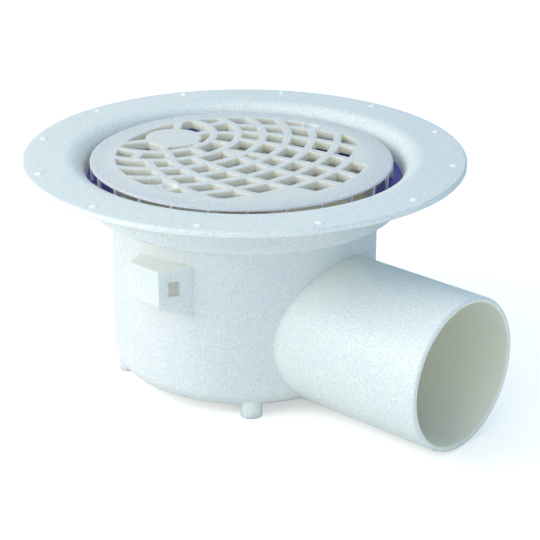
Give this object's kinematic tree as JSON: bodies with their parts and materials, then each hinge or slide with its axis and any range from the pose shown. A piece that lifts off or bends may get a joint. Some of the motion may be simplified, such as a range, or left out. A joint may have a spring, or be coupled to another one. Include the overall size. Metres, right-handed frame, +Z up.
{
  "type": "floor drain",
  "caption": "Round white plastic floor drain: flanged body with a side outlet spigot, strap lugs and feet, clamping ring, lattice grate and a lift-out water trap.",
  "frame": {"origin": "on the drain's axis, in the plane of the flange's underside, which lies on the floor slab", "axes": "+Z up along the drain's axis, +X along the outlet spigot towards its mouth"},
  "size_m": [0.3627, 0.32, 0.1687],
  "materials": {
    "body_white": "satin, moulded",
    "grate_white": "satin, moulded",
    "ring_violet": "satin, moulded",
    "trap_grey": "satin, moulded",
    "seal_rubber": "matt"
  },
  "bodies": {
    "root": {"drain_body": "body_white", "grate": "grate_white", "clamping_ring": "ring_violet", "trap_funnel": "trap_grey", "trap_cup": "trap_grey", "throat_o_ring": "seal_rubber"}
  },
  "joints": []
}
